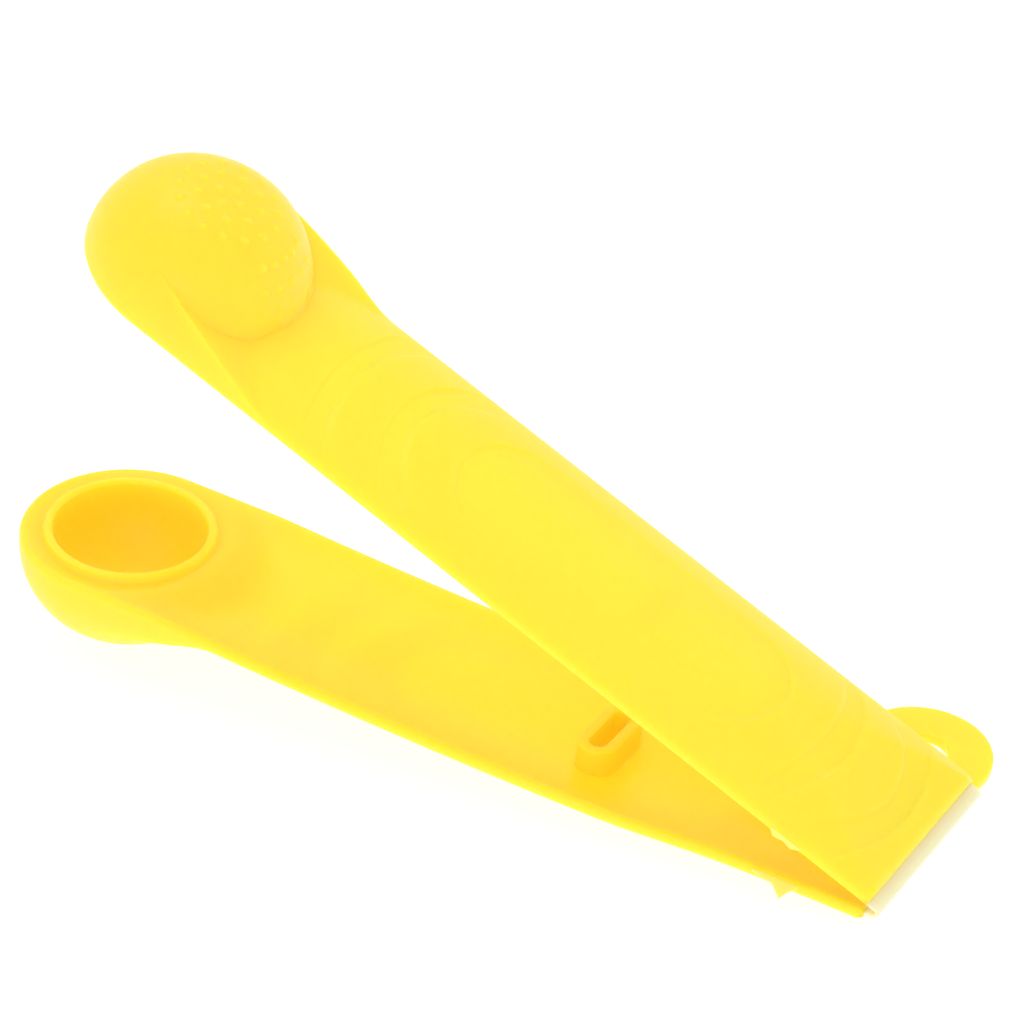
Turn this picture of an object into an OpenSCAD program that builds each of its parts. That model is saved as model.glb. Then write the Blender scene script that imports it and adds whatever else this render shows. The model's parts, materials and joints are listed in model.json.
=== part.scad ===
// Hinged two-arm plastic tool with a cup at the end of each arm, moulded in one shot.
// It lies on the back of its lower cup and lower arm, with the upper arm standing open.
// Each arm is drawn lying flat: x runs from the hinge line to its cup, y is across,
// and z = 0 is the plane in which the two arms meet, with z positive towards the outside.

/* [Arms] */
// Distance from the hinge line to the centre of a cup
arm_l = 97; // [80:1:150]
// Width of an arm
arm_w = 24.2; // [24:0.1:25]
// Height of an arm's straight side wall
side_h = 1.3; // [1:0.05:1.6]
// Height of an arm's outside crest above the meeting plane
crest_h = 4.2; // [3.8:0.1:5]
// Wall thickness along the crest of an arm
wall = 1.3; // [1:0.05:1.6]
// Angle between the two arms as they stand
opening = 21.4; // [10:0.1:60]

/* [Cups] */
// Depth of a cup's outside below the meeting plane
cup_depth = 12; // [11:0.1:13]
// Radius of the round flank of a cup's outside
cup_flank_r = 10.4; // [9.8:0.1:10.6]
// Radius of the hollow at its mouth
bowl_r = 8.4; // [7.5:0.05:8.6]
// Depth of the hollow
bowl_depth = 9.6; // [9:0.1:10]
// Thickness of the raised lip round the lower hollow
lip_t = 1.2; // [0.8:0.05:1.4]
// How far the raised lip stands above the meeting plane
lip_h = 0.4; // [0.3:0.05:1]
// Gap all round between the lip and its seat in the upper cup
lip_gap = 0.3; // [0.2:0.05:0.4]

/* [Neck] */
// Distance from the hinge line to the foot of the ramp that climbs to a cup
neck_x = 79.3; // [78:0.1:81]
// Slope of the ramp in degrees
neck_slope = 18.8; // [14:0.1:20]
// How far the ramp is dished across its width
neck_dish = 0.6; // [0.3:0.05:1]

/* [Hinge web] */
// Thickness of the thin web that joins the arms
web_t = 0.4; // [0.3:0.05:0.5]
// Inside radius of the bend in the web
web_bend_r = 0.25; // [0.2:0.05:0.3]
// Distance from the hinge line to the end of an arm
web_leg = 0.9; // [0.8:0.05:1.2]

/* [Latch] */
// Distance from the hinge line to the latch
latch_x = 36.7; // [32:0.1:42]
// Length of the slotted socket across the arm
socket_l = 9.3; // [8:0.1:11]
// Width of the socket along the arm
socket_w = 4.4; // [4.2:0.1:5]
// Width of the slot in the socket
slot_w = 2; // [1.8:0.1:2.2]
// How far the socket stands above the meeting plane
socket_rise = 0.55; // [0.4:0.05:1.2]
// Gap on each side of the tongue in the slot
tongue_gap = 0.3; // [0.2:0.05:0.4]

/* [Hanging ear] */
// Radius of the ear on the side of the lower arm
ear_r = 7.5; // [7:0.1:8.5]
// Distance from the hinge line to the centre of the ear
ear_x = 7.8; // [7.6:0.1:10]
// Distance from the arm's middle to the centre of the ear
ear_y = 15.3; // [14.5:0.1:16]
// Radius of the hole in the ear
ear_hole_r = 2.7; // [1.5:0.1:3]

/* [Grip dots] */
// Spacing of the raised dots along a ring
dot_pitch = 2.3; // [2:0.1:3]
// Radius of a dot
dot_r = 0.45; // [0.35:0.05:0.5]
// Radius of the smallest ring of dots on top of a cup
dot_ring_r = 1.4; // [1.2:0.1:1.6]
// Step from one ring to the next
dot_ring_step = 2.05; // [1.8:0.05:2.2]
// Number of full rings on top of a cup
dot_rings = 3; // [1:1:4]
// Number of rows of dots on the side of a cup that faces the hinge
dot_rows = 3; // [1:1:3]

/* [Hidden] */
$fn = 96;

half_w = arm_w / 2;
face_gap = 0.1;                             // each arm stops this far from the meeting plane
big = 400;                                  // longer than anything that it cuts
arm_end = web_leg;                          // the arm starts here, just past the web
web_inset = 0.2;                            // on each side of the web
web_w = arm_w - 2 * web_inset;
crest_rise = crest_h - side_h;
rim_w = 0.8;                                // flat rim on each side of the trough
trough_half_w = half_w - rim_w;
trough_h = crest_h - wall;

// The crest drops towards the hinge in two straight steps
shoulder = [22, crest_h];
knee = [12, crest_h - 0.5];
heel = [0, 1.75];

// Outside of a cup: a straight wall, a round flank and a small flat on the bottom
cup_wall_h = cup_depth - cup_flank_r;
cup_flat_r = half_w - cup_flank_r;

// Recesses across the crest: [apex on the cup side, its radius, apex on the hinge side, its radius]
recess_depth = 0.45;
heel_floor = heel.y + 0.35;                 // the recess nearest the hinge is cut down to here
head_recesses = [[78.2, 28, 75.8, 20], [70.3, 15.5, 67.8, 11]];
heel_recesses = [[15.1, 24, 12.0, 17.5], [6.0, 12, 3.4, 21]];
pad = [20.4, 61.8, 7.5];                    // hinge end, cup end and half width of the long pad

// Dots: how far a centre stands out of the wall, and where the rows on the side lie
dot_proud = 0.05;
dot_row_turn = 11.5;
dot_row_lean = 38.5;
dot_row_step = 14;

// Each dot is [turn about the cup's axis, lean down its flank, radius at which the lean starts]
dots = concat(
    [for (ring = [0 : dot_rings - 1])
        let (r = dot_ring_r + ring * dot_ring_step)
        let (count = round(2 * PI * r / dot_pitch))
        for (i = [0 : count - 1]) [i * 360 / count, dot_lean(r), min(r, cup_flat_r)]],
    [for (row = [0 : dot_rows - 1])
        for (i = [-2 : 2]) [180 + i * dot_row_turn, dot_row_lean + row * dot_row_step, cup_flat_r]]
);

// The tool rests on the knee of the lower arm and on the dots that reach down furthest
tilt = max([for (d = dots) rest_angle(dot_side_view(d) - knee)]);

// The origin is under the middle of the tool's box
nib_reach = 2.5;
nib_t = 0.6;
nib_z = 0.4;
hinge_z = knee.y * cos(tilt) - knee.x * sin(tilt);
reach = (arm_l + cup_flat_r) * cos(tilt) + cup_wall_h * sin(tilt) + cup_flank_r;
hinge_x = (reach - web_bend_r - web_t) / 2;
hinge_y = (half_w + nib_reach - ear_y - ear_r) / 2;

plastic = "gold";
web_colour = "lemonchiffon";

// Radius of the arc that rises by h over a half chord c
function arc_r(c, h) = (c * c + h * h) / (2 * h);

// Lean of a dot whose ring has radius r
function dot_lean(r) = r < cup_flat_r ? 0 : asin((r - cup_flat_r) / cup_flank_r);

// Centre of a dot seen from the tool's side, as [x, z]
function dot_side_view(d) = [
    arm_l + (d.z + (cup_flank_r + dot_proud) * sin(d.y)) * cos(d.x),
    cup_wall_h + (cup_flank_r + dot_proud) * cos(d.y)
];

// Angle of a line through the knee that touches a dot whose centre is v away
function rest_angle(v) = atan2(v.y, v.x) + asin(dot_r / norm(v));

module lower() {
    translate([hinge_x, hinge_y, hinge_z]) rotate([0, tilt, 0]) mirror([0, 0, 1]) mirror([1, 0, 0])
        children();
}

module upper() {
    translate([hinge_x, hinge_y, hinge_z]) rotate([0, tilt + opening, 0]) mirror([1, 0, 0])
        children();
}

// Extrudes a shape drawn in (y, z) from x0 to x1
module along_x(x0, x1) {
    translate([x0, 0, 0]) rotate([90, 0, 90]) linear_extrude(x1 - x0) children();
}

// Extrudes a shape drawn in (x, z) across the whole width w
module across(w) {
    translate([0, w / 2, 0]) rotate([90, 0, 0]) linear_extrude(w) children();
}

// Segment of a circle above z = base, of half width c and height h
module arc_2d(c, h, base) {
    intersection() {
        translate([0, base + h - arc_r(c, h)]) circle(r = arc_r(c, h), $fn = 180);
        translate([-c, base]) square([2 * c, h]);
    }
}

module outside_2d() {
    translate([-half_w, 0]) square([arm_w, side_h]);
    arc_2d(half_w, crest_rise, side_h);
}

module trough(x0, x1) {
    along_x(x0, x1) {
        arc_2d(trough_half_w, trough_h, 0);
        translate([-trough_half_w, -1]) square([2 * trough_half_w, 1.001]);
    }
}

// Side view of an arm, offset inwards by t, from x0 to x1
module side_2d(x0, x1, t) {
    intersection() {
        polygon([[heel.x, -1], [heel.x, heel.y - t], [knee.x, knee.y - t], [shoulder.x, shoulder.y - t],
                 [arm_l, crest_h - t], [arm_l, -1]]);
        translate([x0, -1]) square([x1 - x0, big]);
    }
}

// Band between two arcs; side is 1 where the arcs bulge towards the cup and -1 towards the hinge
module band_2d(apex_cup, r_cup, apex_hinge, r_hinge, side) {
    near = side > 0 ? [apex_hinge, r_hinge] : [apex_cup, r_cup];
    far = side > 0 ? [apex_cup, r_cup] : [apex_hinge, r_hinge];
    intersection() {
        difference() {
            translate([far.x - side * far.y, 0]) circle(r = far.y);
            translate([near.x - side * near.y, 0]) circle(r = near.y);
        }
        translate([apex_hinge - (side > 0 ? 5 : 1), -half_w])
            square([apex_cup - apex_hinge + 6, arm_w]);
    }
}

module pad_2d() {
    r = pad.z;
    translate([pad.x + r, -r]) square([pad.y - pad.x - 2 * r, 2 * r]);
    translate([pad.x + r, 0]) circle(r = r);
    translate([pad.y - r, 0]) circle(r = r);
}

module recesses() {
    translate([0, 0, crest_h - recess_depth]) linear_extrude(5) {
        for (b = head_recesses) band_2d(b[0], b[1], b[2], b[3], 1);
        pad_2d();
    }
    translate([0, 0, knee.y - recess_depth]) linear_extrude(5)
        band_2d(heel_recesses[0][0], heel_recesses[0][1], heel_recesses[0][2], heel_recesses[0][3], -1);
    translate([0, 0, heel_floor]) linear_extrude(5)
        band_2d(heel_recesses[1][0], heel_recesses[1][1], heel_recesses[1][2], heel_recesses[1][3], -1);
}

// Closed outside of a cup, solid
module cup_outside() {
    rotate_extrude() intersection() {
        union() {
            square([half_w, cup_wall_h]);
            square([cup_flat_r, cup_depth]);
            translate([cup_flat_r, cup_wall_h]) circle(r = cup_flank_r);
        }
        square([half_w, cup_depth]);
    }
}

// Hollow of a cup: a round-bottomed well
module cup_hollow() {
    rotate_extrude() intersection() {
        union() {
            translate([0, -1]) square([bowl_r, 1 + bowl_depth - bowl_r]);
            translate([0, bowl_depth - bowl_r]) circle(r = bowl_r);
        }
        translate([0, -1]) square([bowl_r, bowl_depth + 1]);
    }
}

module above_face() {
    translate([-big / 2, -big / 2, face_gap]) cube(big);
}

// Stretch of an arm from x0 to x1
module arm_between(x0, x1) {
    intersection() {
        difference() {
            intersection() {
                along_x(x0, x1) outside_2d();
                across(arm_w) side_2d(x0, x1, 0);
            }
            intersection() {
                trough(x0 - 1, x1 + 1);
                across(arm_w) side_2d(x0 - 1, x1 + 1, wall);
            }
            recesses();
        }
        above_face();
    }
}

// The arm runs from its neck to the knee, and its heel from there down to the hinge
module half_arm() {
    arm_between(knee.x, neck_x);
}

module half_heel() {
    arm_between(arm_end, knee.x);
}

// Cup's outside seen from its end, which the neck's sides carry on
module flank_2d() {
    intersection() {
        union() {
            translate([-half_w, 0]) square([arm_w, cup_wall_h]);
            translate([-cup_flat_r, 0]) square([2 * cup_flat_r, cup_depth]);
            for (s = [-1, 1]) translate([s * cup_flat_r, cup_wall_h]) circle(r = cup_flank_r);
        }
        translate([-half_w, 0]) square([arm_w, cup_depth]);
    }
}

// Ramp that climbs from the arm to the cup and hugs the cup's flank
module half_neck() {
    top_z = side_h + (arm_l - neck_x) * tan(neck_slope);
    dish_r = arc_r(half_w, neck_dish);
    intersection() {
        difference() {
            union() {
                along_x(neck_x, arm_l) outside_2d();
                difference() {
                    intersection() {
                        along_x(neck_x, arm_l) flank_2d();
                        across(arm_w) polygon([[neck_x, 0], [neck_x, side_h], [arm_l, top_z], [arm_l, 0]]);
                    }
                    translate([neck_x, 0, side_h + dish_r - neck_dish]) rotate([0, 90 - neck_slope, 0])
                        translate([0, 0, -10]) cylinder(r = dish_r, h = 60, $fn = 360);
                }
            }
            translate([arm_l, 0, 0]) cup_outside();
            trough(neck_x - 1, arm_l);
        }
        above_face();
    }
}

// Full rings on top of the cup, and short rows on the side that faces the hinge
module half_dots() {
    for (d = dots)
        translate([arm_l, 0, 0]) rotate([0, 0, d.x]) translate([d.z, 0, cup_wall_h]) rotate([0, d.y, 0])
            translate([0, 0, cup_flank_r + dot_proud]) sphere(r = dot_r, $fn = 16);
}

// Cup with its hollow; the seat is a wider mouth that takes the other cup's lip
module half_cup(seat_r, seat_h) {
    intersection() {
        translate([arm_l, 0, 0]) difference() {
            cup_outside();
            cup_hollow();
            translate([0, 0, -1]) cylinder(r = seat_r, h = 1 + seat_h);
        }
        above_face();
    }
}

// Outline of the ear: a round end with one side drawn out along the arm
module ear_2d() {
    root = [ear_x + ear_r * 1.55, half_w];
    to_centre = [ear_x, ear_y] - root;
    along = atan2(to_centre.y, to_centre.x);
    turn = asin(ear_r / norm(to_centre));
    reach_to_tangent = sqrt(to_centre * to_centre - ear_r * ear_r);
    tangent = root + reach_to_tangent * [cos(along - turn), sin(along - turn)];
    intersection() {
        union() {
            translate([ear_x, ear_y]) circle(r = ear_r);
            polygon([root, tangent, [ear_x, ear_y], [ear_x, half_w]]);
        }
        translate([0, half_w]) square(big);
    }
}

// Side view of all that lies within r of the hinge line or of the lines the two arms lie along
module bent_2d(r, leg) {
    lower_turn = -tilt;
    upper_turn = -tilt - opening;
    circle(r = r);
    rotate(lower_turn) translate([-leg, -r]) square([leg, r]);
    rotate(upper_turn) translate([-leg, 0]) square([leg, r]);
    polygon([[0, 0], -leg * [cos(lower_turn), sin(lower_turn)], -leg * [cos(upper_turn), sin(upper_turn)]]);
}

// Side view of the web, as [x, z] from the hinge line: one flap in each arm and the bend between
module web_2d() {
    difference() {
        bent_2d(web_bend_r + web_t, web_leg);
        bent_2d(web_bend_r, 2 * web_leg);
    }
}

module lower_heel() { color(plastic) lower() half_heel(); }
module upper_heel() { color(plastic) upper() half_heel(); }
module lower_arm() { color(plastic) lower() half_arm(); }
module upper_arm() { color(plastic) upper() half_arm(); }
module lower_neck() { color(plastic) lower() half_neck(); }
module upper_neck() { color(plastic) upper() half_neck(); }
module lower_cup() { color(plastic) lower() half_cup(bowl_r, 0); }
module upper_cup() { color(plastic) upper() half_cup(bowl_r + lip_t + lip_gap, lip_h + lip_gap); }
module lower_grip_dots() { color(plastic) lower() half_dots(); }
module upper_grip_dots() { color(plastic) upper() half_dots(); }

module cup_lip() {
    color(plastic) lower() translate([arm_l, 0, -lip_h]) difference() {
        cylinder(r = bowl_r + lip_t, h = lip_h + face_gap);
        translate([0, 0, -1]) cylinder(r = bowl_r, h = lip_h + 2);
    }
}

// Stadium across the arm, of full length l and width w
module stadium_2d(l, w) {
    for (s = [-1, 1]) translate([0, s * (l - w) / 2]) circle(r = w / 2);
    translate([-w / 2, -(l - w) / 2]) square([w, l - w]);
}

module latch_socket() {
    wall_pair = socket_w - slot_w;
    color(plastic) lower() difference() {
        translate([latch_x, 0, -socket_rise]) linear_extrude(socket_rise + crest_h - wall / 2)
            difference() {
                stadium_2d(socket_l, socket_w);
                stadium_2d(socket_l - wall_pair, slot_w);
            }
        half_arm();
        translate([0, 0, trough_h]) above_face();
    }
}

module latch_tongue() {
    tongue_l = socket_l - (socket_w - slot_w) - 2 * tongue_gap;
    tongue_t = slot_w - 2 * tongue_gap;
    tongue_tip_z = -trough_h + 0.7;             // clear of the slot's floor when the arms close
    color(plastic) upper() difference() {
        translate([latch_x, 0, tongue_tip_z]) linear_extrude(2 * trough_h)
            stadium_2d(tongue_l, tongue_t);
        half_arm();
        translate([0, 0, trough_h]) above_face();
    }
}

module hanging_ear() {
    color(plastic) lower() difference() {
        translate([0, 0, face_gap]) linear_extrude(side_h - face_gap) ear_2d();
        translate([ear_x, ear_y, -1]) cylinder(r = ear_hole_r, h = 4);
    }
}

module lower_gate_nib() {
    color(plastic) lower() translate([0, -half_w, nib_z]) linear_extrude(nib_t)
        polygon([[8.3, 0], [8.9, -0.8], [9.2, -nib_reach], [10.4, -0.6], [12, -0.5], [13.5, 0]]);
}

module upper_gate_nib() {
    color(plastic) upper() translate([0, -half_w, nib_z]) linear_extrude(nib_t)
        polygon([[9.6, 0], [10.4, -0.6], [11.6, -0.3], [12.6, -0.6], [13.2, 0]]);
}

// Thin web that leaves one arm, turns round the hinge line and enters the other
module hinge_web() {
    color(web_colour) translate([hinge_x, hinge_y, hinge_z]) across(web_w) web_2d();
}

lower_heel();
lower_arm();
lower_neck();
lower_cup();
cup_lip();
latch_socket();
hanging_ear();
lower_grip_dots();
lower_gate_nib();
hinge_web();
upper_heel();
upper_arm();
upper_neck();
upper_cup();
latch_tongue();
upper_grip_dots();
upper_gate_nib();
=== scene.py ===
import json
import math

import bmesh
import bpy
import numpy as np
from mathutils import Matrix, Vector


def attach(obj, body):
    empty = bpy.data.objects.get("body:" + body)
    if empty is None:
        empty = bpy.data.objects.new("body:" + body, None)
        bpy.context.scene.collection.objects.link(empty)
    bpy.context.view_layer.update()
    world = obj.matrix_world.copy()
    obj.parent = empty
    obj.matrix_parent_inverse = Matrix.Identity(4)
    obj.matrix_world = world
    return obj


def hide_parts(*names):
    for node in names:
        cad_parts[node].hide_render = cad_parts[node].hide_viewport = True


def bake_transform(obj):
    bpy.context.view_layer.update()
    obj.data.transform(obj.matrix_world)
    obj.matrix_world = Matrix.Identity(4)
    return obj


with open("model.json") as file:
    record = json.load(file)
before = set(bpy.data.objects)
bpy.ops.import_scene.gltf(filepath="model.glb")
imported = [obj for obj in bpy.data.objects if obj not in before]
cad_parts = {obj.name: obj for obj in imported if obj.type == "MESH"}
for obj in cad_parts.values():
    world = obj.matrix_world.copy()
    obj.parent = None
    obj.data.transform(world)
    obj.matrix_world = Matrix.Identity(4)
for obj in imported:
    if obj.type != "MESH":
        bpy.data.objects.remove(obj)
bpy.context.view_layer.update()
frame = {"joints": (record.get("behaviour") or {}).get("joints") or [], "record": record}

# The arms are worked out in millimetres, lying flat: x runs from the hinge line to the cup,
# y is across, and z = 0 is the plane in which the arms meet, with z positive outwards.
MM = 0.001

# Where the arms stand, from the frame
JOINT = frame["joints"][0]
HINGE = Vector(JOINT["pos_m"])
OPENING = math.radians(-JOINT["range_deg"][0])
LOWER_OUT = Vector(frame["record"]["mounts"][0]["axis"])
TILT = math.atan2(LOWER_OUT.x, LOWER_OUT.z)

# Arms
ARM_L = 97.0                # hinge line to the centre of a cup
HALF_W = 12.1
ARM_END = 0.9               # the arm starts here, just past the web
FACE = 0.1                  # each arm stops this far from the meeting plane
SIDE_H = 1.3                # straight side wall
CREST_H = 4.2
WALL = 1.3
TROUGH_HALF_W = 11.7
KNEE_X = 12.0               # the lower arm rests on the floor here
CREST_X = [0, KNEE_X, 22]   # the crest drops towards the hinge in two slopes
CREST_Z = [1.75, 3.7, CREST_H]
BOW = 1.15                  # how far the lower arm has warped outwards at mid-length
BOW_EASE = 20.0             # the warp sets in over this length past the knee
EDGE_R = 0.3                # rounding of the outside edges
RIM_R = 0.8                 # softer rounding of the edges round the trough
END_R = 0.9                 # rounding of the arm's end above the hinge
CREST_EASE = 1.2            # the crest line is averaged over this length to either side
CREST_BLEND = 0.12          # rounding where the arm's sides meet the crest

# Cups
CUP_DEPTH = 12.0
FLANK_R = 10.4
CUP_WALL_H = CUP_DEPTH - FLANK_R
FLAT_R = HALF_W - FLANK_R
BOWL_R = 8.4
BOWL_DEPTH = 9.6
LIP_T = 1.2
LIP_H = 0.4                 # above the meeting plane
LAND_DIP = 0.45             # how far the land sinks from the rim towards the lip
LAND_W = 2.2
LAND_BLEND = 0.3            # rounding where the trough meets the land
LAND_Z = FACE + LAND_DIP    # the land beside the lip
LIP_FOOT_R = 0.35           # fillet between the lip and the land
TROUGH_GONE_R = 9.0         # the trough fades out towards the cup, from TROUGH_FADE further out
TROUGH_FADE = 8.0
SEAT_R = BOWL_R + LIP_T + 0.3
SEAT_H = LIP_H + 0.6
SEAT_EDGE = 0.15            # rounding of the seat's corners
OUTSIDE_CUP_Z = -5.0        # the dome's height beyond its wall, low enough never to show
EDGE_TOLERANCE = 1e-6

# Neck
NECK_X = 79.3
NECK_SLOPE = math.tan(math.radians(18.8))
RAMP_BLEND = 0.5            # rounding where the arm meets the ramp
FLANK_BLEND = 0.3           # rounding where the ramp meets the dome's flank
BEAD = 0.16                 # fine raised line along the crease of the neck
BEAD_W = 0.35
BEAD_START = NECK_X + 2     # the bead sets in here, over BEAD_EASE
BEAD_EASE = 3.0
NECK_DISH = 0.6
FOOT_R = 2.8                # blend between the ramp and the foot of the cup's dome
FOOT_FADE = 9.0             # the blend dies out over this length, up to the cup's centre
FOOT_MIN = 0.02

# Shallow recesses across the outside of an arm
RECESS_DEPTH = 0.38
RECESS_WALL = 0.45
RECESS_HALF_W = 11.5        # the recesses fade out towards the sides
PAD_HALF_W = 7.5
PAD_SIDE_SHARE = 1.2        # above 1, so the pad keeps some depth at its sides
# Each band lies between two arcs: apex and radius nearer the cup, then nearer the hinge
HEAD_BANDS = [(78.2, 28.0, 75.8, 20.0), (70.3, 15.5, 67.8, 11.0)]
HEEL_BANDS = [(15.1, 24.0, 12.0, 17.5), (6.0, 12.0, 3.4, 21.0)]
PAD = (20.4, 61.8)          # hinge end and cup end
BAND_BACK = 5.0             # how far a band reaches back along the arm at its sides

# Grip dots
DOT_PITCH = 2.3
DOT_R = 0.62
DOT_H = 0.26
DOT_RINGS = [1.4, 3.45, 5.5]
DOT_ROWS = [38.5, 52.5, 66.5]   # degrees down the flank that faces the hinge
DOT_ROW_TURN = 11.5             # degrees between the dots of a row
DOTS_BESIDE = 2                 # dots on either side of a row's middle one
DOT_SHAPE = 1.5                 # how steeply a dot's side falls

# Latch
LATCH_X = 36.7
SOCKET_L = 9.3
SOCKET_W = 4.4
SLOT_W = 2.0
SOCKET_RISE = 0.55
SOCKET_ROUND = 0.3
TONGUE_GAP = 0.3
TONGUE_ROUND = 0.3
TONGUE_TIP_GAP = TONGUE_GAP + 0.4
INSIDE_CREST = CREST_H - WALL   # the trough's ceiling, where socket and tongue start
SUNK = 0.6                      # how far they reach into the wall, so that they join it

# Hanging ear
EAR_R = 7.5
EAR_X = 7.8
EAR_Y = 15.3
EAR_HOLE_R = 2.7
EAR_EDGE_R = 0.25
EAR_ROOT_X = EAR_X + 1.55 * EAR_R   # where its drawn-out side meets the arm
EAR_DRAWN_OUT = 1.45                # radians of the outline that the drawn-out side takes up
EAR_OVERLAP = 0.8                   # how far the plate reaches into the arm

# Gate nibs: what is left of the moulding's gates on the near edge, as (x, how far out)
LOWER_NIB = [(8.3, 0), (8.9, 0.8), (9.05, 1.5), (9.2, 2.4),
             (9.5, 1.6), (10.4, 0.6), (12.0, 0.5), (13.5, 0)]
UPPER_NIB = [(9.6, 0), (10.4, 0.6), (11.0, 0.35), (11.6, 0.3),
             (12.2, 0.55), (12.6, 0.6), (13.2, 0)]
NIB_Z = 0.7
NIB_HALF_T = 0.22
NIB_THINNING = 0.6          # share of its thickness that a nib loses towards its edge
NIB_OVERLAP = 0.3           # how far a nib reaches into the arm

# Hinge web
WEB_T = 0.4
WEB_BEND_R = 0.25
WEB_HALF_W = 11.9
WEB_EDGE_R = 0.15           # rounding of the strip's two ends
WEB_EDGE_KEEP = 0.25        # share of its thickness left at the very end
WEB_EDGE_START = 0.35       # radians into that rounding at the first station
WEB_PLAIN_INSET = 0.4       # the evenly spaced stations start this far in

# Mesh
JOIN_X = 76.0               # the arm's grid ends here and the head's rings take over
ARM_STATIONS = 370
HEAD_STATIONS = 76
ROUND_END_POINTS = 121
DOME_RINGS = 72
DOME_DENSE_R = 8.7          # the dome's own rings reach this far out on its flank
RAMP_RINGS = 64
LAND_RINGS = 30
WALL_ROWS = np.array([0.0, 0.35, 0.7, 1.0])
STADIUM_POINTS = 24
WELD = 2e-7                 # metres
SLIVER = 1e-8
SHARP = math.radians(40)    # edges that turn more than this stay crisp

# Plastic
IOR = 1.49
SPECULAR = 0.3
SCATTER_RGB = (1.0, 0.6, 0.12)      # red light travels furthest through it
ROUGHER, SMOOTHER = 0.07, 0.05      # how far the roughness wanders
FLOW_SCALE, CLOUD_SCALE, GRAIN_SCALE, WAVE_SCALE = 55.0, 260.0, 2600.0, 90.0
FLOW_FROM, FLOW_TO = 0.25, 0.7      # part of the noise that mixes the two colours
GRAIN_DEPTH = 0.000006              # metres
WAVE_DEPTH = 0.00006
WAVE_STRENGTH = 0.5

# Floor and light
FLOOR_HALF = 1.5            # metres
FLOOR_GREY = 0.3
FLOOR_ROUGHNESS = 0.9
FLOOR_GLOW = 0.85           # keeps the floor as white as the photograph's background
WORLD_STRENGTH = 0.8
SOFT_BOX = 0.4
KEY_WATTS, KEY_PLACE = 1.0, (-0.14, 0.16, 0.8)
FILL_WATTS, FILL_PLACE = 0.5, (0.15, -0.6, 0.12)
LIGHT_AIM = (0, 0, 0.02)

# Camera, at the photograph's viewing angle
AZIMUTH = math.radians(30.90)
ELEVATION = math.radians(32.01)
ROLL = math.radians(1.494)
TARGET = Vector((-0.005379, 0.015196, 0.015))
DISTANCE = 0.52947
LENS = 171.516
SENSOR = 36.0
CLIP_START = 0.01


def smooth(t):
    t = np.clip(t, 0.0, 1.0)
    return t * t * (3 - 2 * t)


def soft_max(a, b, k):
    """The larger of a and b, with the corner between them rounded over a height k."""
    h = np.clip(0.5 + 0.5 * (a - b) / k, 0.0, 1.0)
    return b + (a - b) * h + k * h * (1 - h)


def soft_min(a, b, k):
    return -soft_max(-a, -b, k)


def arc_z(y, half_chord, height):
    """Height of a shallow arc above its chord."""
    r = (half_chord ** 2 + height ** 2) / (2 * height)
    return np.sqrt(np.maximum(r * r - y * y, 0.0)) - (r - height)


def edge_drop(d, r):
    """How far a rounded edge of radius r has dropped at a distance d inside it."""
    inside = np.clip(r - d, 0.0, r)
    return r - np.sqrt(r * r - inside * inside)


def edge_distance(x, y):
    """Distance inwards from the arm's outline, seen from above."""
    beyond = np.maximum(x - ARM_L, 0.0)
    return HALF_W - np.hypot(beyond, y)


def crest(x):
    """Height of the crest line, with its two corners eased."""
    return sum(np.interp(x + s, CREST_X, CREST_Z) for s in (-CREST_EASE, 0.0, CREST_EASE)) / 3


def dome_z(r):
    """Outside of a cup: a small flat, a round flank and a straight wall."""
    lean = np.clip(r - FLAT_R, 0.0, FLANK_R)
    z = CUP_WALL_H + np.sqrt(FLANK_R ** 2 - lean ** 2)
    return np.where(r > HALF_W + EDGE_TOLERANCE, OUTSIDE_CUP_Z, z)


def band(x, y, apex_cup, r_cup, apex_hinge, r_hinge, side):
    """1 inside the band between two arcs; side is 1 where they bulge towards the cup."""
    from_cup = np.hypot(x - (apex_cup - side * r_cup), y) - r_cup
    from_hinge = np.hypot(x - (apex_hinge - side * r_hinge), y) - r_hinge
    inside = np.minimum(-side * from_cup, side * from_hinge)
    limit = x - (apex_hinge - BAND_BACK) if side > 0 else (apex_cup + BAND_BACK) - x
    return smooth(inside / RECESS_WALL + 0.5) * smooth(limit)


def recess(x, y):
    """Depth of the recesses, which fade out where the arm curves down to its sides."""
    bands = [band(x, y, *b, 1) for b in HEAD_BANDS] + [band(x, y, *b, -1) for b in HEEL_BANDS]
    wide = np.maximum.reduce(bands) * np.clip(1 - (y / RECESS_HALF_W) ** 2, 0.0, 1.0)
    start, end = PAD
    along = np.clip(x, start + PAD_HALF_W, end - PAD_HALF_W)
    pad = smooth((PAD_HALF_W - np.hypot(x - along, y)) / RECESS_WALL + 0.5)
    pad = pad * np.clip(PAD_SIDE_SHARE - (y / PAD_HALF_W) ** 2, 0.0, 1.0)
    return RECESS_DEPTH * np.maximum(wide, pad)


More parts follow.
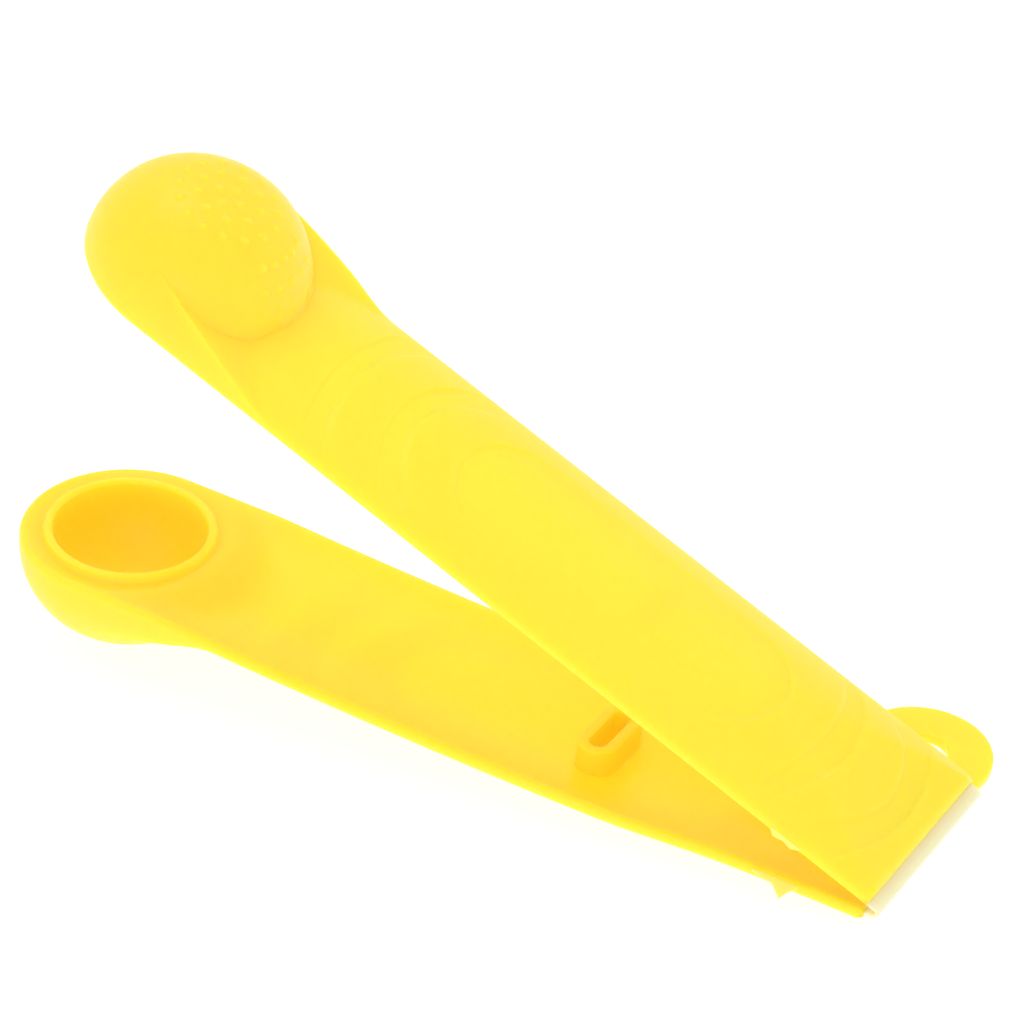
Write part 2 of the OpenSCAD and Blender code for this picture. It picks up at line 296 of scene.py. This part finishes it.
def outer_z(x, y):
    """Outside of an arm with its neck and cup."""
    d = edge_distance(x, y)
    across = np.clip(np.abs(y), 0.0, HALF_W)
    arm = soft_min(SIDE_H + arc_z(across, HALF_W, CREST_H - SIDE_H), crest(x), CREST_BLEND)
    arm = arm - recess(x, y)
    dish = NECK_DISH * (1 - (across / HALF_W) ** 2)
    ramp = SIDE_H + (x - NECK_X) * NECK_SLOPE - dish
    flank = dome_z(across)
    top = soft_max(arm, ramp, RAMP_BLEND) - edge_drop(d, EDGE_R)
    crease = np.exp(-((top - flank) / BEAD_W) ** 2) * smooth((x - BEAD_START) / BEAD_EASE)
    top = soft_min(top, flank, FLANK_BLEND) + BEAD * crease
    dome = dome_z(np.hypot(x - ARM_L, y))
    foot = FOOT_MIN + FOOT_R * smooth((ARM_L - x) / FOOT_FADE)
    return np.where(x > ARM_L, np.maximum(dome, CUP_WALL_H), soft_max(top, dome, foot))


def inner_z(x, y):
    """Inside of an arm: the trough, which rises to a flat land round the cup and along the rim."""
    from_cup = np.hypot(x - ARM_L, y)
    across = np.minimum(np.abs(y), HALF_W)
    trough = np.minimum(arc_z(across, TROUGH_HALF_W, INSIDE_CREST), crest(x) - WALL)
    trough = trough * smooth((from_cup - TROUGH_GONE_R) / TROUGH_FADE)
    trough = np.where(x > ARM_L, 0.0, trough)
    dip = LAND_DIP * smooth((HALF_W - from_cup) / LAND_W)
    return soft_max(trough, FACE + dip, LAND_BLEND) + edge_drop(edge_distance(x, y), RIM_R)


def quarter(count):
    """Angles over a quarter turn."""
    return np.linspace(0, math.pi / 2, count)


def hollow_profile():
    """Half section of a cup's hollow as (r, z), from its bottom to its mouth."""
    return [(BOWL_R * math.sin(a), BOWL_DEPTH - BOWL_R + BOWL_R * math.cos(a)) for a in quarter(28)]


def lip_profile():
    """Lower cup from the bottom of its hollow, up and over the lip, to the land round it."""
    top = -LIP_H
    r = LIP_T / 2 - 0.06
    over = [(BOWL_R + LIP_T / 2 - r * math.cos(a), top + r - r * math.sin(a))
            for a in np.linspace(0, math.pi, 14)]
    foot = [(BOWL_R + LIP_T + LIP_FOOT_R - LIP_FOOT_R * math.cos(a),
             LAND_Z - LIP_FOOT_R + LIP_FOOT_R * math.sin(a))
            for a in np.linspace(0.1, math.pi / 2, 6)]
    return hollow_profile() + over + foot


def seat_profile():
    """Upper cup from the bottom of its hollow to the land, with the wider seat for the lip."""
    third = SEAT_EDGE / 3
    step = [(BOWL_R, SEAT_H + SEAT_EDGE), (BOWL_R + third, SEAT_H + third), (BOWL_R + SEAT_EDGE, SEAT_H),
            (SEAT_R - SEAT_EDGE, SEAT_H), (SEAT_R - third, SEAT_H - third), (SEAT_R, SEAT_H - SEAT_EDGE)]
    mouth = [(SEAT_R, LAND_Z + 0.12), (SEAT_R + 0.05, LAND_Z + 0.04), (SEAT_R + 0.12, LAND_Z)]
    return hollow_profile() + step + mouth


def half_across():
    """Distances from the middle of an arm to its edge, closer together at the edge."""
    flat = np.linspace(0.0, FLAT_R, 7)[:-1]
    flank = FLAT_R + FLANK_R * np.sin(np.linspace(0.0, math.pi / 2, 52))
    return np.concatenate([flat, flank])


def head_outline(lines):
    """Outline of the head from the join's -y corner round the cup to its +y corner and back."""
    side_x = np.linspace(JOIN_X, ARM_L, HEAD_STATIONS)
    turn = np.linspace(-math.pi / 2, math.pi / 2, ROUND_END_POINTS)
    round_end = np.stack([ARM_L + HALF_W * np.cos(turn), HALF_W * np.sin(turn)], 1)
    near = np.stack([side_x, np.full_like(side_x, -HALF_W)], 1)
    far = near[::-1] * [1, -1]
    join = np.stack([np.full_like(lines, JOIN_X), lines], 1)[::-1]
    return np.concatenate([near[:-1], round_end, far[1:], join[1:-1]])


def head_rings(outline, first, count):
    """Points of the head's rings: circles of the first radii, then more that grow into the outline."""
    centre = np.array([ARM_L, 0.0])
    out = outline - centre
    reach = np.hypot(*out.T)
    unit = out / reach[:, None]
    radii = [np.full_like(reach, r) for r in first]
    for s in np.linspace(0.0, 1.0, count + 1)[1:]:
        radii.append(first[-1] + (reach - first[-1]) * (1 - (1 - s) ** 2))
    radii = np.array(radii)
    points = centre + unit[None] * radii[..., None]
    points[-1] = outline
    return points


def sheet(points, z, closed=False):
    """A grid of points as (vertices, quads); closed joins the last column to the first."""
    rows, columns = z.shape
    verts = np.concatenate([points, z[..., None]], 2).reshape(-1, 3)
    index = np.arange(rows * columns).reshape(rows, columns)
    if closed:
        index = np.concatenate([index, index[:, :1]], 1)
    quads = np.stack([index[:-1, :-1], index[1:, :-1], index[1:, 1:], index[:-1, 1:]], 2)
    return verts, quads.reshape(-1, 4)


def ring_sheet(rings):
    """A sheet from closed rings of (x, y, z) points, each joined to the next."""
    rings = np.array(rings, float)
    return sheet(rings[..., :2], rings[..., 2], closed=True)


def bowed(verts):
    """The lower arm's slight warp: outwards by BOW at mid-length and nothing at the ends."""
    x = verts[:, 0]
    s = np.clip(x / (ARM_L - HALF_W), 0.0, 1.0)
    moved = verts.copy()
    moved[:, 2] += BOW * 4 * s * (1 - s) * smooth((x - KNEE_X) / BOW_EASE)
    return moved


def placed(verts, body):
    """Flat millimetres to the row frame in metres, on either arm."""
    if body == "lower":
        verts = bowed(verts) * [-1, 1, -1]
        turn = TILT
    else:
        verts = verts * [-1, 1, 1]
        turn = TILT + OPENING
    turned = verts @ np.array(Matrix.Rotation(turn, 3, "Y")).T
    return turned * MM + np.array(HINGE)


def closed_mesh(name, patches, body):
    """One mesh from patches of (vertices, quads), welded where they touch."""
    verts, faces, start = [], [], 0
    for points, quads in patches:
        verts.append(np.asarray(points, float))
        faces += (np.asarray(quads) + start).tolist()
        start += len(points)
    verts = placed(np.concatenate(verts), body) if body else np.concatenate(verts)
    mesh = bpy.data.meshes.new(name)
    mesh.from_pydata(verts.tolist(), [], faces)
    grid = bmesh.new()
    grid.from_mesh(mesh)
    bmesh.ops.remove_doubles(grid, verts=grid.verts, dist=WELD)
    bmesh.ops.dissolve_degenerate(grid, edges=grid.edges, dist=SLIVER)
    bmesh.ops.recalc_face_normals(grid, faces=grid.faces)
    grid.to_mesh(mesh)
    grid.free()
    return mesh


def new_piece(name, solids, body, material):
    """One piece from closed solids that are moulded together. Without a body it is already placed."""
    objects = []
    for patches in solids:
        objects.append(bpy.data.objects.new(name, closed_mesh(name, patches, body)))
        bpy.context.scene.collection.objects.link(objects[-1])
    piece = objects[0]
    for other in objects[1:]:
        union = piece.modifiers.new("union", "BOOLEAN")
        union.operation = "UNION"
        union.solver = "MANIFOLD"
        union.object = other
    if len(objects) > 1:
        graph = bpy.context.evaluated_depsgraph_get()
        whole = bpy.data.meshes.new_from_object(piece.evaluated_get(graph))
        piece.modifiers.clear()
        piece.data = whole
        for other in objects[1:]:
            bpy.data.objects.remove(other)
    piece.data.materials.clear()
    piece.data.materials.append(material)
    piece.data.shade_smooth()
    piece.data.set_sharp_from_angle(angle=SHARP)
    if body:
        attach(piece, body)
    return piece


def dot_places():
    """Each dot as (turn about the cup's axis, lean down its flank, radius where the lean starts)."""
    places = []
    for r in DOT_RINGS:
        count = round(2 * math.pi * r / DOT_PITCH)
        lean = math.asin(max(r - FLAT_R, 0) / FLANK_R)
        places += [(2 * math.pi * i / count, lean, min(r, FLAT_R)) for i in range(count)]
    for lean in DOT_ROWS:
        places += [(math.pi + math.radians(i * DOT_ROW_TURN), math.radians(lean), FLAT_R)
                   for i in range(-DOTS_BESIDE, DOTS_BESIDE + 1)]
    return places


def dotted(verts):
    """The outside of a cup with its low round bumps, whose feet run out into the flank."""
    verts = verts.copy()
    for turn, lean, start_r in dot_places():
        out = np.array([math.sin(lean) * math.cos(turn), math.sin(lean) * math.sin(turn), math.cos(lean)])
        start = np.array([ARM_L + start_r * math.cos(turn), start_r * math.sin(turn), CUP_WALL_H])
        away = np.linalg.norm(verts - (start + out * FLANK_R), axis=1) / DOT_R
        verts += out * (DOT_H * np.clip(1 - away ** 2, 0.0, 1.0) ** DOT_SHAPE)[:, None]
    return verts


def arm_patches(profile):
    """Closed shell of an arm, its neck and its cup. profile is the hollow's outline as (r, z)."""
    half = half_across()
    lines = np.concatenate([-half[:0:-1], half])
    rounded_end = ARM_END + END_R * (1 - np.cos(quarter(12)))
    plain = np.linspace(rounded_end[-1] + 0.15, JOIN_X, ARM_STATIONS)
    stations = np.concatenate([rounded_end, plain])
    flat = np.stack(np.meshgrid(stations, lines, indexing="ij"), 2)
    end_drop = edge_drop(stations - ARM_END, END_R)[:, None]
    outer = outer_z(flat[..., 0], flat[..., 1]) - end_drop
    inner = inner_z(flat[..., 0], flat[..., 1])

    outline = head_outline(lines)
    lean = np.linspace(0.0, math.asin(DOME_DENSE_R / FLANK_R), DOME_RINGS)
    dome_r = np.concatenate([np.linspace(0.0, FLAT_R, 5)[:-1], FLAT_R + FLANK_R * np.sin(lean)])
    dome = head_rings(outline, dome_r, RAMP_RINGS)
    dome_height = outer_z(dome[..., 0], dome[..., 1])
    profile_r = [r for r, z in profile]
    mouth = head_rings(outline, profile_r, LAND_RINGS)
    mouth_height = inner_z(mouth[..., 0], mouth[..., 1])
    mouth_height[:len(profile)] = np.array([z for r, z in profile])[:, None]

    # Wall between the two sheets, all the way round
    sides = len(outline) - (len(lines) - 2)
    rim = [(flat[i, 0], outer[i, 0], inner[i, 0]) for i in range(len(stations))]
    rim += [(outline[k], dome_height[-1, k], mouth_height[-1, k]) for k in range(1, sides - 1)]
    rim += [(flat[i, -1], outer[i, -1], inner[i, -1]) for i in reversed(range(len(stations)))]
    rim += [(flat[0, j], outer[0, j], inner[0, j]) for j in reversed(range(1, len(lines) - 1))]
    points = np.array([p for p, top, low in rim])
    top = np.array([t for p, t, low in rim])
    low = np.array([b for p, t, b in rim])
    mix = WALL_ROWS[:, None]
    wall = sheet(np.repeat(points[None], len(WALL_ROWS), 0), top + (low - top) * mix, closed=True)
    verts, quads = sheet(dome, dome_height, closed=True)
    return [sheet(flat, outer), sheet(flat, inner), (dotted(verts), quads),
            sheet(mouth, mouth_height, closed=True), wall]


def loops(rings):
    """A closed solid from rings of equal length; the first and last ring are filled."""
    rings = np.array(rings, float)
    count = rings.shape[1]
    middles = [ring.mean(0, keepdims=True).repeat(count, 0) for ring in (rings[0], rings[-1])]
    return ring_sheet(np.concatenate([middles[:1], rings, middles[1:]]))


def stadium(length, width, grow):
    """Outline of a stadium across the arm, grown by grow on every side."""
    r = max(width / 2 + grow, 0.02)
    half = (length - width) / 2
    a = np.linspace(0, math.pi, STADIUM_POINTS)
    ends = [np.stack([r * np.cos(a), s * half + s * r * np.sin(a)], 1)[::s] for s in (1, -1)]
    return np.concatenate(ends)


def at_height(outline, centre, z):
    """A flat outline moved to a centre (x, y), at height z."""
    return np.column_stack([outline + centre, np.full(len(outline), z)])


def socket_patches():
    """Raised slot: up the outside, over the rounded rim and down to the slot's floor."""
    ceiling = INSIDE_CREST
    rim_w = (SOCKET_W - SLOT_W) / 2
    r = SOCKET_ROUND
    outside = [(0.5, ceiling + SUNK), (0.45, ceiling), (0.2, ceiling - 0.2), (0.06, ceiling - 0.5)]
    over = [(-r + r * math.cos(a), -SOCKET_RISE + r - r * math.sin(a)) for a in quarter(7)]
    back = [(-rim_w + r - r * math.sin(a), -SOCKET_RISE + r - r * math.cos(a)) for a in quarter(7)]
    slot = [(-rim_w - 0.03, ceiling - 1.2), (-rim_w - 0.12, ceiling - 1.0),
            (-rim_w - 0.35, ceiling - 0.95)]
    return [loops([at_height(stadium(SOCKET_L, SOCKET_W, grow), (LATCH_X, 0), z)
                   for grow, z in outside + over + back + slot])]


def tongue_patches():
    """Blade that drops into the slot when the arms close."""
    base, r = INSIDE_CREST, TONGUE_ROUND
    thick = SLOT_W - 2 * TONGUE_GAP
    length = SOCKET_L - (SOCKET_W - SLOT_W) - 2 * TONGUE_GAP
    tip = TONGUE_TIP_GAP - base
    levels = [(0.4, base + SUNK), (0.35, base), (0.12, base - 0.25), (0.0, base - 0.6), (0.0, tip + r)]
    levels += [(-r + r * math.cos(a), tip + r - r * math.sin(a)) for a in np.linspace(0.2, 1.5, 6)]
    return [loops([at_height(stadium(length, thick, grow), (LATCH_X, 0), z) for grow, z in levels])]


def ear_patches():
    """Plate with a round end, a drawn-out side and a hole, its edges rounded."""
    turn = np.linspace(0, 2 * math.pi, 181)[:-1]
    root = np.array([EAR_ROOT_X - EAR_X, HALF_W - EAR_Y])
    touch = math.atan2(root[1], root[0]) + math.acos(EAR_R / np.hypot(*root))
    past = (touch - turn + math.pi) % (2 * math.pi) - math.pi
    drawn_out = (past > 0) & (past < EAR_DRAWN_OUT)
    reach = np.where(drawn_out, EAR_R / np.cos(np.clip(past, 0, EAR_DRAWN_OUT)), EAR_R)
    inside_arm = (HALF_W - EAR_OVERLAP - EAR_Y) / np.minimum(np.sin(turn), -1e-3)
    reach = np.where(np.sin(turn) < 0, np.minimum(reach, inside_arm), reach)
    unit = np.stack([np.cos(turn), np.sin(turn)], 1)
    r, low, high = EAR_EDGE_R, FACE, SIDE_H
    section = [(r - r * math.sin(a), low + r - r * math.cos(a)) for a in quarter(6)]
    section += [(r - r * math.cos(a), high - r + r * math.sin(a)) for a in quarter(6)]
    rings = [at_height(unit * (reach - inset)[:, None], (EAR_X, EAR_Y), z) for inset, z in section]
    rings += [at_height(unit * (EAR_HOLE_R + inset), (EAR_X, EAR_Y), z) for inset, z in section[::-1]]
    return [ring_sheet(rings + rings[:1])]


def nib_patches(outline):
    """Thin ragged flash, thickest at the arm and fading to an edge."""
    x = np.linspace(outline[0][0], outline[-1][0], 40)
    out = np.interp(x, [p[0] for p in outline], [p[1] for p in outline])
    rings = []
    for share in np.linspace(0.0, 1.0, 9):
        y = -HALF_W + NIB_OVERLAP - (out * share + NIB_OVERLAP * share)
        thick = NIB_HALF_T * (1 - NIB_THINNING * share ** 2)
        top = np.column_stack([x, y, np.full(len(x), NIB_Z + thick)])
        low = np.column_stack([x, y, np.full(len(x), NIB_Z - thick)])
        rings.append(np.concatenate([top, low[::-1]]))
    return [loops(rings)]


def end_cap(ring):
    """The middle line of an end section, out and back, which closes the strip there."""
    half = len(ring) // 2
    line = (ring[:half] + ring[::-1][:half]) / 2
    return np.concatenate([line, line[::-1]])


def web_patches():
    """Bent strip round the hinge line, already placed in the row frame."""
    # Angles are measured from +x towards +z, in the row frame
    bend = np.linspace(-math.pi / 2 - TILT, math.pi / 2 - TILT - OPENING, 29)
    lower_dir = np.array([-math.cos(TILT), math.sin(TILT)])
    upper_dir = np.array([-math.cos(TILT + OPENING), math.sin(TILT + OPENING)])

    def line(r):
        arc = np.stack([r * np.cos(bend), r * np.sin(bend)], 1)
        leg = np.linspace(1.0, 0.0, 6)[:-1, None]
        lower_leg = arc[0] + lower_dir * ARM_END * leg
        upper_leg = (arc[-1] + upper_dir * ARM_END * leg)[::-1]
        return np.concatenate([lower_leg, arc, upper_leg])

    outside, inside = line(WEB_BEND_R + WEB_T), line(WEB_BEND_R)
    section = np.concatenate([outside, inside[::-1]])
    middle = (outside + inside) / 2
    middle = np.concatenate([middle, middle[::-1]])
    edge = [-WEB_HALF_W + WEB_EDGE_R * (1 - math.sin(a))
            for a in np.linspace(WEB_EDGE_START, math.pi / 2, 5)]
    plain_half = WEB_HALF_W - WEB_PLAIN_INSET
    ys = sorted(edge) + list(np.linspace(-plain_half, plain_half, 60)) + sorted(-y for y in edge)
    rings = []
    for y in ys:
        d = min(WEB_HALF_W - abs(y), WEB_EDGE_R)
        rounding = math.sqrt(max(1 - (1 - d / WEB_EDGE_R) ** 2, 0.0))
        shaped = middle + (section - middle) * (WEB_EDGE_KEEP + (1 - WEB_EDGE_KEEP) * rounding)
        rings.append(np.column_stack([shaped[:, 0], np.full(len(shaped), y), shaped[:, 1]]))
    verts, quads = ring_sheet([end_cap(rings[0])] + rings + [end_cap(rings[-1])])
    return [(verts * MM + np.array(HINGE), quads)]


def plastic(name, colour, deep, roughness, subsurface, scatter_mm, painted_glow, bump):
    """Moulded polypropylene: a satin skin over a slightly milky body, with faint flow marks."""
    material = bpy.data.materials.new(name)
    material.use_nodes = True
    nodes, links = material.node_tree.nodes, material.node_tree.links
    shader = nodes["Principled BSDF"]
    where = nodes.new("ShaderNodeTexCoord")

    def noise(scale, detail, stretch=(1, 1, 1)):
        mapping = nodes.new("ShaderNodeMapping")
        mapping.inputs["Scale"].default_value = stretch
        links.new(where.outputs["Object"], mapping.inputs["Vector"])
        texture = nodes.new("ShaderNodeTexNoise")
        texture.inputs["Scale"].default_value = scale
        texture.inputs["Detail"].default_value = detail
        links.new(mapping.outputs["Vector"], texture.inputs["Vector"])
        return texture.outputs["Fac"]

    flow = noise(FLOW_SCALE, 3.0, (0.35, 1, 1))
    ramp = nodes.new("ShaderNodeValToRGB")
    ramp.color_ramp.elements[0].position = FLOW_FROM
    ramp.color_ramp.elements[0].color = (*deep, 1)
    ramp.color_ramp.elements[1].position = FLOW_TO
    ramp.color_ramp.elements[1].color = (*colour, 1)
    links.new(flow, ramp.inputs["Fac"])
    links.new(ramp.outputs["Color"], shader.inputs["Base Color"])

    cloud = noise(CLOUD_SCALE, 2.0)
    spread = nodes.new("ShaderNodeMapRange")
    spread.inputs["To Min"].default_value = roughness - SMOOTHER
    spread.inputs["To Max"].default_value = roughness + ROUGHER
    links.new(cloud, spread.inputs["Value"])
    links.new(spread.outputs["Result"], shader.inputs["Roughness"])

    # Fine grain of the mould, over a slow waviness from shrinkage
    grain, wave = noise(GRAIN_SCALE, 2.0), noise(WAVE_SCALE, 1.0, (0.5, 1, 1))
    for height, distance, strength in ((wave, WAVE_DEPTH, WAVE_STRENGTH), (grain, GRAIN_DEPTH, bump)):
        node = nodes.new("ShaderNodeBump")
        node.inputs["Distance"].default_value = distance
        node.inputs["Strength"].default_value = strength
        links.new(height, node.inputs["Height"])
        if shader.inputs["Normal"].is_linked:
            links.new(shader.inputs["Normal"].links[0].from_socket, node.inputs["Normal"])
        links.new(node.outputs["Normal"], shader.inputs["Normal"])

    shader.inputs["Subsurface Weight"].default_value = subsurface
    shader.inputs["Subsurface Radius"].default_value = SCATTER_RGB
    shader.inputs["Subsurface Scale"].default_value = scatter_mm * MM
    # Emission is painted light: the plastic glows by this amount, though it is no lamp.
    shader.inputs["Emission Color"].default_value = (*colour, 1)
    shader.inputs["Emission Strength"].default_value = painted_glow
    shader.inputs["IOR"].default_value = IOR
    shader.inputs["Specular IOR Level"].default_value = SPECULAR
    return material


# The faint glow is painted light that brightens the hollows, added to match how bright the photograph's
# hollows are. It isn't measured.
YELLOW = plastic("yellow_plastic", colour=(0.995, 0.75, 0.044), deep=(0.99, 0.737, 0.039),
                 roughness=0.36, subsurface=1.0, scatter_mm=3.4, painted_glow=0.09, bump=0.25)
# The gate flash's paler colour and its glow are painted light, standing in for light shining through the
# thin plastic.
FLASH_PAINTED_LIGHT = plastic("thin_flash_painted_light", colour=(1.0, 0.86, 0.2), deep=(0.99, 0.83, 0.15),
                roughness=0.34, subsurface=0.0, scatter_mm=1.0, painted_glow=0.25, bump=0.2)
# The web's pale colour and its glow are painted light, standing in for light shining through the thin
# strip from behind.
WEB = plastic("thin_web_plastic", colour=(1.0, 0.90, 0.58), deep=(0.99, 0.88, 0.52),
              roughness=0.3, subsurface=0.6, scatter_mm=3.0, painted_glow=0.05, bump=0.2)

lower = new_piece("lower_half", [arm_patches(lip_profile()), socket_patches(), ear_patches()],
                  "lower", YELLOW)
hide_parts("lower_heel", "lower_arm", "lower_neck", "lower_cup", "cup_lip",
            "lower_grip_dots", "latch_socket", "hanging_ear")
upper = new_piece("upper_half", [arm_patches(seat_profile()), tongue_patches()], "upper", YELLOW)
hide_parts("upper_heel", "upper_arm", "upper_neck", "upper_cup", "upper_grip_dots",
            "latch_tongue")
for body, outline in (("lower", LOWER_NIB), ("upper", UPPER_NIB)):
    nib = new_piece(body + "_gate_flash", [nib_patches(outline)], body, FLASH_PAINTED_LIGHT)
    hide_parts(body + "_gate_nib")

web = new_piece("hinge_web_strip", [web_patches()], None, WEB)
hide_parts("hinge_web")
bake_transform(web)

# Floor
corners = [(x * FLOOR_HALF, y * FLOOR_HALF, 0) for x, y in ((-1, -1), (1, -1), (1, 1), (-1, 1))]
floor_mesh = bpy.data.meshes.new("floor")
floor_mesh.from_pydata(corners, [], [(0, 1, 2, 3)])
floor = bpy.data.objects.new("floor", floor_mesh)
bpy.context.scene.collection.objects.link(floor)
floor_material = bpy.data.materials.new("floor")
floor_material.use_nodes = True
paper = floor_material.node_tree.nodes["Principled BSDF"]
paper.inputs["Base Color"].default_value = (FLOOR_GREY, FLOOR_GREY, FLOOR_GREY, 1)
paper.inputs["Roughness"].default_value = FLOOR_ROUGHNESS
paper.inputs["Emission Color"].default_value = (1, 1, 1, 1)
paper.inputs["Emission Strength"].default_value = FLOOR_GLOW
floor_mesh.materials.append(floor_material)

# Light: a bright white room, a large soft box overhead and a weaker one low in front
world = bpy.data.worlds.new("world")
bpy.context.scene.world = world
world.use_nodes = True
world.node_tree.nodes["Background"].inputs["Color"].default_value = (1, 1, 1, 1)
world.node_tree.nodes["Background"].inputs["Strength"].default_value = WORLD_STRENGTH


def soft_box(name, watts, place):
    light = bpy.data.lights.new(name, "AREA")
    light.size = SOFT_BOX
    light.energy = watts
    obj = bpy.data.objects.new(name, light)
    obj.location = place
    obj.rotation_euler = (Vector(LIGHT_AIM) - Vector(place)).to_track_quat("-Z", "Y").to_euler()
    bpy.context.scene.collection.objects.link(obj)


soft_box("key", KEY_WATTS, KEY_PLACE)
soft_box("fill", FILL_WATTS, FILL_PLACE)

# Camera
back = Vector((math.sin(AZIMUTH) * math.cos(ELEVATION), -math.cos(AZIMUTH) * math.cos(ELEVATION),
               math.sin(ELEVATION)))
camera_data = bpy.data.cameras.new("camera")
camera_data.lens = LENS
camera_data.sensor_width = SENSOR
camera_data.clip_start = CLIP_START
camera = bpy.data.objects.new("camera", camera_data)
level = (-back).to_track_quat("-Z", "Y").to_matrix().to_4x4()
rolled = level @ Matrix.Rotation(-ROLL, 4, "Z")
camera.matrix_world = Matrix.Translation(TARGET + back * DISTANCE) @ rolled
bpy.context.scene.collection.objects.link(camera)
bpy.context.scene.camera = camera
bpy.context.scene.view_settings.view_transform = "Standard"
